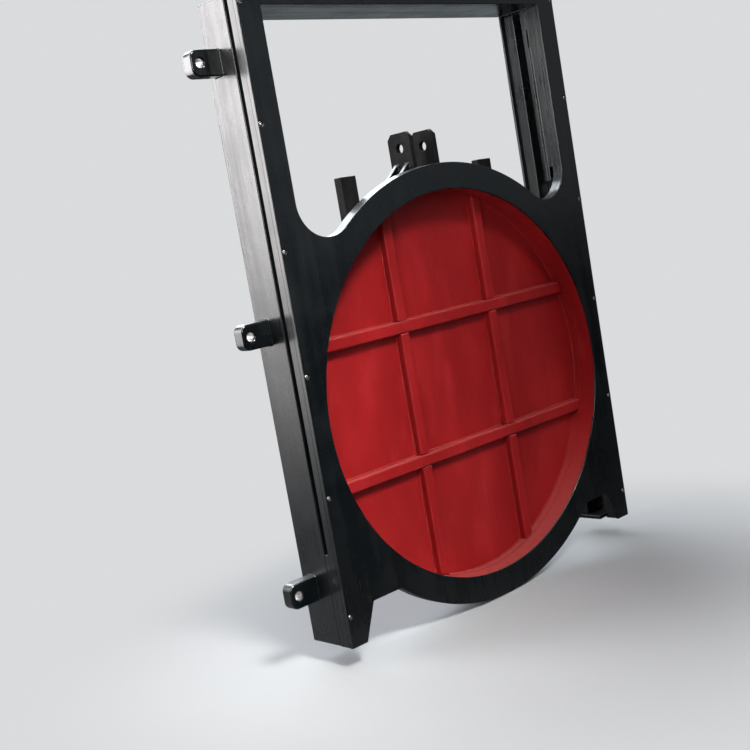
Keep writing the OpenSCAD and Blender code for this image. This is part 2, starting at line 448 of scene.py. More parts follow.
@dataclass(frozen=True)
class Paints:
    """The gate's finishes, made once and shared by its pieces."""

    face: Paint
    upright: Paint
    level: Paint
    cast: Paint
    rough: Paint
    red: Paint
    rubber: Paint
    steel: Paint

    @classmethod
    def mixed(cls) -> "Paints":
        """Makes every finish.

        Returns:
            The finishes.
        """
        even = {"deep": (0.0024, 0.0035, 0.0043), "worn": (0.0036, 0.0049, 0.0058), "relief": 0.0006}
        soft = {"gloss": (0.16, 0.30), "relief": 0.0009}
        return cls(
            face=Paint(BlackEnamel("black_enamel_face", **even).build()),
            upright=Paint(BlackEnamel("black_enamel_upright").build()),
            level=Paint(BlackEnamel("black_enamel_level", Grain.LEVEL).build()),
            cast=Paint(BlackEnamel("black_enamel_cast", Grain.ROUND, **soft).build()),
            rough=Paint(RoughEnamel("black_enamel_rough").build()),
            red=Paint(RedEnamel("red_enamel").build(), "red_paint"),
            rubber=Paint(SealRubber("seal_rubber").build(), "rubber"),
            steel=Paint(BareSteel("bare_steel").build()),
        )


@dataclass(frozen=True)
class GateSizes:
    """Sizes and places that several pieces share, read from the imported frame, in metres."""

    opening_r: float
    centre_h: float
    ring_r: float
    rim_r: float
    tube_r: float
    half_w: float
    post_in: float
    strip_t: float
    face_t: float
    tube_depth: float
    leaf_y: float
    skin_y: float
    leaf_back_y: float
    back_y: float
    beam_z: float
    top_h: float
    notch_z: float
    notch_r: float

    @classmethod
    def from_frame(cls) -> "GateSizes":
        """Works the sizes out from the boxes of the frame's nodes.

        Returns:
            The sizes.
        """
        skin_low, skin_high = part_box("leaf_skin")
        strip_low, strip_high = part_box("right_edge_strip")
        wall_low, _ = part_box("right_inner_wall")
        arch_low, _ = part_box("arch_flange")
        plate_low, plate_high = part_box("face_plate")
        rim_low, rim_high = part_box("leaf_rim")
        _, tube_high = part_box("opening_tube")
        _, channel_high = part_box("right_guide_channel")
        beam_low, beam_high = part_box("top_beam")
        centre_h = (skin_low.z + skin_high.z) / 2
        strip_t = strip_high.x - strip_low.x
        return cls(
            opening_r=skin_high.x,
            centre_h=centre_h,
            ring_r=centre_h - plate_low.z,
            rim_r=rim_high.x,
            tube_r=tube_high.x,
            half_w=strip_high.x,
            post_in=wall_low.x,
            strip_t=strip_t,
            face_t=plate_high.y,
            tube_depth=tube_high.y,
            leaf_y=rim_low.y,
            skin_y=skin_low.y,
            leaf_back_y=rim_high.y,
            back_y=channel_high.y,
            beam_z=beam_low.z,
            top_h=beam_high.z,
            notch_z=wall_low.z - centre_h,
            notch_r=wall_low.z - strip_t - arch_low.z,
        )

    @property
    def notch_x(self) -> float:
        """Distance of a notch's centre from the middle of the gate."""
        return self.post_in - self.notch_r

    def around(
        self, radius: float, y: float, start: float = 0, end: float = 360, steps: int = 120
    ) -> list[Point3]:
        """Returns points along an arc about the opening's axis, its angles from +X towards +Z."""
        return [(x, y, z) for x, z in arc((0, self.centre_h), radius, start, end, steps)]


def arc(centre: Point2, radius: float, start: float, end: float, steps: int) -> Loop:
    """Works out points along an arc.

    Args:
        centre: The arc's centre.
        radius: Its radius.
        start: The first angle, in degrees.
        end: The last angle, in degrees.
        steps: The number of chords.

    Returns:
        The points, both ends among them.
    """
    angles = [math.radians(start + (end - start) * k / steps) for k in range(steps + 1)]
    return [(centre[0] + radius * math.cos(a), centre[1] + radius * math.sin(a)) for a in angles]


def hole(centre: Point2, radius: float, steps: int, start: float = 0) -> Loop:
    """Returns the outline of a round hole, clockwise from an angle in degrees."""
    return arc(centre, radius, start, start - 360, steps)[:-1]


def inset(loop: Loop, distance: float) -> Loop:
    """Moves a closed outline towards the material, which lies at its left.

    Args:
        loop: The outline's points in order.
        distance: How far it moves.

    Returns:
        The moved points.
    """
    moved: Loop = []
    least_square = 0.6  # keeps a very sharp corner from moving too far
    for k, corner in enumerate(loop):
        here = Vector(corner)
        before = (here - Vector(loop[k - 1])).normalized()
        after = (Vector(loop[(k + 1) % len(loop)]) - here).normalized()
        across = Vector((-before.y - after.y, before.x + after.x))
        move = across * (2 * distance / max(across.length_squared, least_square))
        moved.append((here.x + move.x, here.y + move.y))
    return moved


def neighbours(ring: list[Any]) -> list[tuple[Any, Any]]:
    """Returns each item of a closed ring with the item after it."""
    return list(zip(ring, ring[1:] + ring[:1]))


def bridge(shape: Shape, rings: list[list[bmesh.types.BMVert]]) -> None:
    """Joins each closed ring of points to the next with four-sided faces.

    Args:
        shape: The shape that holds the points.
        rings: The rings in order, with the same number of points.
    """
    for first, second in zip(rings, rings[1:]):
        for (a, b), (c, d) in zip(neighbours(first), neighbours(second)):
            shape.faces.new((a, b, d, c))


def turn_outward(shape: Shape) -> None:
    """Turns the faces of each closed part of a shape outwards.

    Args:
        shape: The shape, made of closed parts.
    """
    bmesh.ops.recalc_face_normals(shape, faces=shape.faces)
    waiting = set(shape.faces)
    for start in shape.faces:
        if start not in waiting:
            continue
        waiting.remove(start)
        part = [start]
        for face in part:
            joined = {other for edge in face.edges for other in edge.link_faces} & waiting
            waiting -= joined
            part.extend(joined)
        volume = sum(face.calc_area() * face.normal.dot(face.verts[0].co) for face in part)
        if volume < 0:
            bmesh.ops.reverse_faces(shape, faces=part)


def add_object(name: str, data: bpy.types.ID) -> bpy.types.Object:
    """Adds an object to the scene.

    Args:
        name: The object's name.
        data: Its mesh, lamp or camera.

    Returns:
        The new object.
    """
    made = bpy.data.objects.new(name, data)
    bpy.context.scene.collection.objects.link(made)
    return made


def mount(piece: bpy.types.Object, body: str) -> None:
    """Ties a finished piece to its body, and reports it.

    Args:
        piece: The piece.
        body: The body that it moves with.
    """
    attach(piece, body)
    LOG.info("%s: %d faces", piece.name, len(piece.data.polygons))


def modify(piece: bpy.types.Object, label: str, kind: str, **settings: Any) -> None:
    """Adds a modifier to a piece.

    Args:
        piece: The piece.
        label: The modifier's name.
        kind: Its type.
        settings: Its attributes.
    """
    made = piece.modifiers.new(label, kind)
    for name, value in settings.items():
        setattr(made, name, value)


def place_piece(
    shape: Shape, name: str, body: str, *paints: Paint, node: str = "", weighted: bool = False
) -> bpy.types.Object:
    """Turns a finished shape into a piece that rides on a body.

    Args:
        shape: The shape, which is freed.
        name: The piece's name.
        body: The body that it moves with.
        paints: Its paints, by face index.
        node: The frame's node that it replaces, if any.
        weighted: True to keep flat faces flat beside rounded edges.

    Returns:
        The new piece.
    """
    turn_outward(shape)
    mesh = bpy.data.meshes.new(name)
    shape.to_mesh(mesh)
    shape.free()
    for paint in paints:
        mesh.materials.append(paint.material)
    mesh.shade_smooth()
    mesh.set_sharp_from_angle(angle=SHARP)
    piece = add_object(name, mesh)
    mount(piece, body)
    if weighted:
        modify(piece, "flat faces", "WEIGHTED_NORMAL", mode="FACE_AREA", weight=90, keep_sharp=True)
    if node:
        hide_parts(node)
    return piece


def quarter(radius: float, steps: int) -> list[Point2]:
    """Returns how far a rounded edge is drawn in and how deep it is, from its face round to its side."""
    turns = [math.pi / 2 * k / steps for k in range(steps + 1)]
    return [(radius * (1 - math.sin(t)), radius * (1 - math.cos(t))) for t in turns]


@dataclass
class RoundedPlate:
    """A flat plate with holes, whose edges are rounded at both faces."""

    loops: list[Loop]
    near: float
    far: float
    near_round: float
    far_round: float
    steps: int
    facing: Facing = Facing.FRONT
    paint_lines: tuple[float, ...] = ()

    def stations(self) -> list[Point2]:
        """Works out the outlines that the plate's wall runs through.

        Returns:
            Pairs of how far the outline is drawn in and its depth, from the near face to the far one.
        """
        near = [(drawn, self.near + depth) for drawn, depth in quarter(self.near_round, self.steps)]
        far = [(drawn, self.far - depth) for drawn, depth in quarter(self.far_round, self.steps)[::-1]]
        return near + [(0.0, depth) for depth in self.paint_lines] + far

    def corner(self, point: Point2, depth: float) -> Vector:
        """Places an outline's point in the gate's frame.

        Args:
            point: The outline's point.
            depth: Its depth.

        Returns:
            The place.
        """
        if self.facing is Facing.FRONT:
            return Vector((point[0], depth, point[1]))
        return Vector((depth, point[0], point[1]))

    def shape(self, material_of: Callable[[Vector], int] | None = None) -> Shape:
        """Builds the plate.

        Args:
            material_of: Gives a face's material index from its middle.

        Returns:
            The closed shape.
        """
        shape = bmesh.new()
        caps: tuple[list, list] = ([], [])
        for loop in self.loops:
            rings = [
                [shape.verts.new(self.corner(p, depth)) for p in inset(loop, drawn_in)]
                for drawn_in, depth in self.stations()
            ]
            bridge(shape, rings)
            for cap, ring in zip(caps, (rings[0], rings[-1])):
                cap.extend(shape.edges.get(pair) for pair in neighbours(ring))
        for cap in caps:
            bmesh.ops.triangle_fill(shape, use_beauty=True, use_dissolve=False, edges=cap)
        if material_of:
            for face in shape.faces:
                face.material_index = material_of(face.calc_center_median())
        return shape


def full_turn(steps: int) -> list[float]:
    """Returns the angles of a full turn in equal steps, in radians."""
    return [2 * math.pi * k / steps for k in range(steps)]


def turned(profile: list[Point2], centre_h: float) -> Shape:
    """Turns a closed profile about the opening's axis.

    Args:
        profile: Points of radius and depth.
        centre_h: Height of the axis.

    Returns:
        The closed ring.
    """
    shape = bmesh.new()
    rings = [
        [shape.verts.new((r * math.cos(a), y, centre_h + r * math.sin(a))) for r, y in profile]
        for a in full_turn(RING_STEPS)
    ]
    bridge(shape, rings + rings[:1])
    return shape


def rounded_profile(corners: list[Point2], radius: float) -> list[Point2]:
    """Rounds the right-angled corners of a closed profile, each with three chords.

    Args:
        corners: The profile's corners in order.
        radius: The radius of each corner.

    Returns:
        The rounded profile.
    """
    points: list[Point2] = []
    chords = 3
    for k, corner in enumerate(corners):
        here = Vector(corner)
        back = (Vector(corners[k - 1]) - here).normalized()
        on = (Vector(corners[(k + 1) % len(corners)]) - here).normalized()
        middle = here + (back + on) * radius
        for j in range(chords + 1):
            t = math.pi / 2 * j / chords
            point = middle - on * (radius * math.cos(t)) - back * (radius * math.sin(t))
            points.append((point.x, point.y))
    return points


def box_profile(inner: float, outer: float, near: float, far: float) -> list[Point2]:
    """Returns the corners of a ring's square section, by its radii and depths."""
    return [(inner, near), (inner, far), (outer, far), (outer, near)]


@dataclass
class DressedNodes:
    """Copies of a body's straight pieces, with their edges rounded and their paint on."""

    nodes: dict[str, bpy.types.Object]
    body: str
    segments: int = 3
    merge: float = 1e-5
    flat: float = math.radians(0.6)
    sharp: float = math.radians(32)

    def dress(self, node: str, paint: Paint, radius: float) -> None:
        """Makes one dressed copy that stands for its node.

        Args:
            node: The node's name.
            paint: Its paint.
            radius: The radius of its edges, in metres.
        """
        shape = bmesh.new()
        shape.from_mesh(self.nodes[node].data)
        bmesh.ops.remove_doubles(shape, verts=shape.verts, dist=self.merge)
        bmesh.ops.dissolve_limit(
            shape, angle_limit=self.flat, verts=shape.verts, edges=shape.edges, delimit={"NORMAL"}
        )
        for face in shape.faces:
            face.material_index = 0
        piece = place_piece(shape, f"painted_{node}", self.body, paint, node=node)
        modify(
            piece,
            "rounded edges",
            "BEVEL",
            width=radius,
            segments=self.segments,
            limit_method="ANGLE",
            angle_limit=self.sharp,
            use_clamp_overlap=True,
            miter_outer="MITER_ARC",
            harden_normals=True,
        )


class Repeater(Graph):
    """A Geometry Nodes tree that sets small rounded items along edges."""

    SIZES = {
        "radius": "Float",
        "pitch": "Float",
        "flatness": "Float",
        "spread": "Float",
        "around": "Int",
        "rows": "Int",
        "seed": "Int",
    }

    def __init__(self, name: str) -> None:
        """Builds the tree.

        Args:
            name: The name of the tree and its modifier.
        """
        super().__init__(bpy.data.node_groups.new(name, "GeometryNodeTree"))
        new_socket = self.tree.interface.new_socket
        self.sockets = {
            label: new_socket(label, in_out="INPUT", socket_type=f"NodeSocket{kind}").identifier
            for label, kind in {"edges": "Geometry", **self.SIZES, "finish": "Material"}.items()
        }
        new_socket("items", in_out="OUTPUT", socket_type="NodeSocketGeometry")
        given = self.node("NodeGroupInput").outputs
        ball = {"Segments": given["around"], "Rings": given["rows"], "Radius": given["radius"]}
        item = self.node("GeometryNodeMeshUVSphere", ball).outputs["Mesh"]
        curve = self.node("GeometryNodeMeshToCurve", {"Mesh": given["edges"]}).outputs["Curve"]
        spaced = {"Curve": curve, "Length": given["pitch"]}
        points = self.node("GeometryNodeCurveToPoints", spaced, mode="LENGTH").outputs
        least = self.maths("SUBTRACT", 1.0, given["spread"])
        most = self.maths("ADD", 1.0, given["spread"])
        limits = {2: least, 3: most, "Seed": given["seed"]}
        size = self.node("FunctionNodeRandomValue", limits, data_type="FLOAT").outputs[1]
        length = self.maths("MULTIPLY", size, given["flatness"])
        scale = self.node("ShaderNodeCombineXYZ", {"X": size, "Y": size, "Z": length}).outputs["Vector"]
        where = {key: points[key] for key in ("Points", "Rotation")}
        placed = self.node("GeometryNodeInstanceOnPoints", {**where, "Instance": item, "Scale": scale})
        made = placed.outputs["Instances"]
        paint = {"Material": given["finish"]}
        for step, extra in (("RealizeInstances", {}), ("SetShadeSmooth", {}), ("SetMaterial", paint)):
            made = self.node(f"GeometryNode{step}", {"Geometry": made, **extra}).outputs["Geometry"]
        self.node("NodeGroupOutput", {"items": made})

    def apply(self, base: Shape, name: str, values: dict[str, Any]) -> bpy.types.Object:
        """Sets the items on a base and keeps the result as a plain mesh.

        Args:
            base: The edges, which are freed.
            name: The piece's name.
            values: The tree's inputs, by name.

        Returns:
            The new piece.
        """
        mesh = bpy.data.meshes.new(name + "_base")
        base.to_mesh(mesh)
        base.free()
        piece = add_object(name, mesh)
        modifier = piece.modifiers.new(self.tree.name, "NODES")
        modifier.node_group = self.tree
        for label, value in values.items():
            modifier[self.sockets[label]] = value
        evaluated = piece.evaluated_get(bpy.context.evaluated_depsgraph_get())
        plain = bpy.data.meshes.new_from_object(evaluated)
        plain.name = name
        piece.modifiers.remove(modifier)
        piece.data = plain
        bpy.data.meshes.remove(mesh)
        return piece


@dataclass
class WeldSet:
    """The weld beads of one body and paint: rippled fillets along the joints of its pieces."""

    name: str
    body: str
    paint: Paint
    radius: float = 0.0042
    pitch: float = 0.0034
    flatness: float = 0.62
    spread: float = 0.13
    around: int = 7
    rows: int = 4
    seed: int = 3
    shape: Shape = field(default_factory=bmesh.new)

    def line(self, *points: Point3 | Vector, closed: bool = False) -> None:
        """Adds a bead along points.

        Args:
            points: The bead's path.
            closed: True to end where it began.
        """
        verts = [self.shape.verts.new(p) for p in points]
        for pair in neighbours(verts)[: None if closed else -1]:
            self.shape.edges.new(pair)

    def stitches(self, start: Point3, end: Point3, length: float, pitch: float) -> None:
        """Adds short beads in a row.

        Args:
            start: The row's start.
            end: The row's end.
            length: The length of a bead.
            pitch: The spacing of the beads.
        """
        first, last = Vector(start), Vector(end)
        along = (last - first).normalized()
        count = int((last - first).length // pitch)
        spare = (last - first).length - (count - 1) * pitch - length
        for k in range(count):
            head = first + along * (spare / 2 + k * pitch)
            self.line(head, head + along * length)

    def build(self, repeater: Repeater) -> None:
        """Makes the beads into a piece.

        Args:
            repeater: The tree that spaces ripples along edges.
        """
        values = {size: getattr(self, size) for size in repeater.SIZES}
        piece = repeater.apply(self.shape, self.name, {**values, "finish": self.paint.material})
        mount(piece, self.body)


@dataclass
class FacePlate:
    """The flat front plate, with its window, its round opening and its screws."""

    sizes: GateSizes
    paints: Paints
    lower_edge_drop: float = 0.430
    foot_sole_w: float = 0.047
    foot_top_w: float = 0.087
    front_round: float = 0.0018
    back_round: float = 0.0006
    red_from: float = 0.0040
    red_reach: float = 0.0004
    screw_inset: float = 0.0080
    screw_first: float = 0.076
    screw_pitch: float = 0.286
    screw_rows: int = 6
    screw_below_top: float = 0.024
    screw_hole_r: float = 0.0058
    screw_hole_turn: float = 4
    screw_head_r: float = 0.0050
    screw_sink: float = 0.0002

    def outline(self) -> Loop:
        """Draws the plate's outer edge.

        Returns:
            The edge, counter-clockwise.
        """
        s = self.sizes
        drop = self.lower_edge_drop
        corner = math.degrees(math.asin(drop / s.ring_r))
        right = [
            (s.half_w - self.foot_top_w, -drop),
            (s.half_w - self.foot_sole_w, -s.centre_h),
            (s.half_w, -s.centre_h),
            (s.half_w, s.top_h - s.centre_h),
        ]
        lower = arc((0, 0), s.ring_r, corner - 180, -corner, 96)
        left = [(-x, z) for x, z in reversed(right)]
        return [(x, z + s.centre_h) for x, z in lower + right + left]

    def window(self) -> Loop:
        """Draws the window between the posts, the arch and the top beam.

        Returns:
            The window's edge, clockwise.
        """
        s = self.sizes
        lean = math.degrees(math.atan2(s.notch_z, s.notch_x))
        notch = arc((s.notch_x, s.notch_z), s.notch_r, 0, lean - 180, 48)
        arch = arc((0, 0), s.ring_r, lean, 180 - lean, 96)
        beam = s.beam_z - s.centre_h
        half = [(s.post_in, beam), *notch]
        mirrored = [(-x, z) for x, z in reversed(half)]
        return [(x, z + s.centre_h) for x, z in half + arch[1:-1] + mirrored]

    def screw_places(self) -> list[Point2]:
        """Spaces the screws up both posts.

        Returns:
            The middles of the screws.
        """
        x = self.sizes.half_w - self.screw_inset
        highest = self.sizes.top_h - self.screw_below_top
        heights = [min(self.screw_first + k * self.screw_pitch, highest) for k in range(self.screw_rows)]
        return [(side * x, z) for side in (-1, 1) for z in heights]

    def material_at(self, middle: Vector) -> int:
        """Picks the paint of one of the plate's faces.

        Args:
            middle: The face's middle.

        Returns:
            1, red, on the wall of the opening, and 0, black, elsewhere.
        """
        s = self.sizes
        away = math.hypot(middle.x, middle.z - s.centre_h)
        return int(away < s.opening_r + self.red_reach and middle.y > self.red_from)

    def build(self) -> None:
        """Makes the plate."""
        s, p = self.sizes, self.paints
        loops = [self.outline(), self.window(), hole((0, s.centre_h), s.opening_r, RING_STEPS)]
        for k, place in enumerate(self.screw_places()):
            loops.append(hole(place, self.screw_hole_r, SCREW_STEPS, k * self.screw_hole_turn))
        rounds = (self.front_round, self.back_round)
        plate = RoundedPlate(loops, 0, s.face_t, *rounds, 3, paint_lines=(self.red_from,))
        shape = plate.shape(self.material_at)
        place_piece(shape, "painted_face_plate", "frame", p.face, p.red, node="face_plate", weighted=True)

    def screws(self) -> None:
        """Makes the domed screw heads that sit in the plate, each with a six-sided socket."""
        socket = [(0.36, 0.0022), (0.40, 0.0003)]
        dome = [(0.62, 0.0005), (0.86, 0.0013), (1.0, 0.0026)]
        profile = [*socket, *dome, (1.0, self.sizes.face_t - self.screw_sink)]
        shape = bmesh.new()
        for x, z in self.screw_places():
            rings = []
            for k, (share, depth) in enumerate(profile):
                y = depth + self.screw_sink
                ring = []
                for a in full_turn(SCREW_STEPS):
                    r = self.screw_head_r * share * (hexagon(a) if k < len(socket) else 1.0)
                    ring.append(shape.verts.new((x + r * math.cos(a), y, z + r * math.sin(a))))
                rings.append(ring)
            bridge(shape, rings)
            shape.faces.new(rings[0])
            shape.faces.new(rings[-1])
        place_piece(shape, "face_screws", "frame", self.paints.steel)


def hexagon(angle: float) -> float:
    """Returns the radius of a six-sided outline at an angle, as a share of its corner radius."""
    sixth = math.pi / 3
    return math.cos(sixth / 2) / math.cos((angle % sixth) - sixth / 2)


@dataclass
class Waterway:
    """The red tube that lines the opening, with its seal and the seal's lip."""

    sizes: GateSizes
    paints: Paints
    edge: float = 0.0006
    seal_edge: float = 0.0024
    lip_gap: float = 0.0012
    lip_lap: float = 0.0015
    lip_w: float = 0.0042
    lip_step: float = 0.0001
    lip_shy: float = 0.0004

    def build(self) -> None:
        """Makes the tube, the seal and the lip."""
        s, p = self.sizes, self.paints
        low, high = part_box("tube_seal")
        tube = box_profile(s.opening_r, s.tube_r, s.face_t, s.tube_depth)
        seal = box_profile(s.tube_r, high.x, low.y, high.y)
        lip_start, lip_end = s.tube_depth - self.lip_lap, s.leaf_y - self.lip_gap
        lip = [
            (s.opening_r + self.lip_step, lip_start),
            (s.opening_r + 2 * self.lip_step, lip_end),
            (s.opening_r + self.lip_w, lip_end),
            (s.tube_r - self.lip_shy, lip_start),
        ]
        for name, profile, radius, paint, node in (
            ("painted_opening_tube", tube, self.edge, p.red, "opening_tube"),
            ("ringed_tube_seal", seal, self.seal_edge, p.rubber, "tube_seal"),
            ("seal_lip", lip, self.edge, p.red, ""),
        ):
            ring = turned(rounded_profile(profile, radius), s.centre_h)
            place_piece(ring, name, "frame", paint, node=node, weighted=True)


@dataclass
class SideLug:
    """A thick anchor lug with soft cast edges and one bolt hole."""

    node: str
    paints: Paints
    corner_r: float = 0.018
    hole_r: float = 0.010
    hole_in: float = 0.023
    soft: float = 0.0045
    sunk: float = 0.006
    fillet: float = 0.0024
    tuck: float = 0.001
    bare: float = 0.0005

    def build(self) -> None:
        """Makes the lug."""
        low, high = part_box(self.node)
        root, tip = sorted((abs(low.x), abs(high.x)))
        bottom, top, r = low.z, high.z, self.corner_r
        outline = [
            (root - self.sunk, bottom),
            *arc((tip - r, bottom + r), r, -90, 0, 10),
            *arc((tip - r, top - r), r, 0, 90, 10),
            (root - self.sunk, top),
        ]
        bore = (tip - self.hole_in, (bottom + top) / 2)
        bare_r = self.hole_r + self.bare
        loops = [outline, hole(bore, self.hole_r, HOLE_STEPS)]
        plate = RoundedPlate(loops, low.y, high.y, self.soft, self.soft, 5)
        shape = plate.shape(lambda middle: int(math.hypot(middle.x - bore[0], middle.z - bore[1]) < bare_r))
        self.add_fillet(shape, root, (low.y, high.y), (bottom, top))
        if high.x < 0:
            shape.transform(Matrix.Scale(-1, 4, (1, 0, 0)))
        paints = (self.paints.cast, self.paints.steel)
        place_piece(shape, f"painted_{self.node}", "frame", *paints, node=self.node, weighted=True)

    def add_fillet(self, shape: Shape, root: float, depths: Point2, heights: Point2) -> None:
        """Adds the hollow fillet that runs round the lug's root.

        Args:
            shape: The shape that gets it.
            root: Distance of the side face from the gate's middle.
            depths: The lug's front and back.
            heights: The lug's bottom and top.
        """
        r, tuck, soft = self.fillet, self.tuck, self.soft
        profile = [(offset, root + out) for offset, out in quarter(r, 5)]
        profile += [(-tuck, root + r), (-tuck, root - tuck), (r, root - tuck)]
        middles = [
            ((depths[1] - soft, heights[1] - soft), 0),
            ((depths[0] + soft, heights[1] - soft), 90),
            ((depths[0] + soft, heights[0] + soft), 180),
            ((depths[1] - soft, heights[0] + soft), 270),
        ]
        rings = []
        for offset, x in profile:
            loop: Loop = []
            for middle, start in middles:
                loop += arc(middle, soft + offset, start, start + 90, 6)
            rings.append([shape.verts.new((x, y, z)) for y, z in loop])
        bridge(shape, rings + rings[:1])


@dataclass
class PostsAndBeam:
    """The straight pieces of both posts, the flanges and the top beam, and the anchor lugs."""

    sizes: GateSizes
    paints: Paints
    dresser: DressedNodes
    stitch: float = 0.045
    guide_pitch: float = 0.14
    web_pitch: float = 0.16
    beam_shy: Point2 = (0.001, 0.008)

    def build(self) -> None:
        """Makes every piece of the frame apart from the face plate and the waterway."""
        p = self.paints
        plain = {
            "edge_strip": (p.upright, 0.0010),
            "inner_wall": (p.upright, 0.0010),
            "packing_bar": (p.upright, 0.0010),
            "guide_channel": (p.upright, 0.0032),
            "front_guide": (p.upright, 0.0015),
            "rear_guide": (p.upright, 0.0020),
            "foot_filler": (p.upright, 0.0008),
            "foot_sole": (p.level, 0.0012),
            "leaf_stop": (p.level, 0.0020),
        }
        for side in SIDES:
            for kind, (paint, radius) in plain.items():
                self.dresser.dress(f"{side}_{kind}", paint, radius)
            for height in ("top", "middle", "bottom"):
                SideLug(f"{side}_{height}_lug", p).build()
        for node, radius in (("top_beam", 0.0022), ("arch_flange", 0.0014), ("lower_flange", 0.0014)):
            self.dresser.dress(node, p.level, radius)

    def welds(self) -> WeldSet:
        """Lays the frame's weld beads.

        Returns:
            The beads of the guides, the beam, the stops, the flanges and the tube.
        """
        s = self.sizes
        beads = WeldSet("frame_welds", "frame", self.paints.cast, pitch=0.0036)
        for side in SIDES:
            turn = -1 if side == "left" else 1
            inner = turn * s.post_in
            guide_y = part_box(f"{side}_front_guide")[0].y
            foot = (inner, guide_y, s.notch_z + s.centre_h)
            beads.stitches(foot, (inner, guide_y, s.beam_z), self.stitch, self.guide_pitch)
            front, back = s.face_t + self.beam_shy[0], s.back_y - self.beam_shy[1]
            beads.line((inner, front, s.beam_z), (inner, back, s.beam_z))
            low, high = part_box(f"{side}_leaf_stop")
            for y in (high.y, low.y):
                beads.line((low.x, y, low.z), (high.x, y, low.z))
            low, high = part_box(f"{side}_rear_guide")
            web = high.x if turn > 0 else low.x
            beads.stitches((web, high.y, low.z), (web, high.y, high.z), self.stitch, self.web_pitch)
        for start, end in ((57, 123), (-132, -48)):
            beads.line(*s.around(s.ring_r - s.strip_t, s.face_t, start, end, 60))
        beads.line(*s.around(s.tube_r, s.face_t)[:-1], closed=True)
        return beads


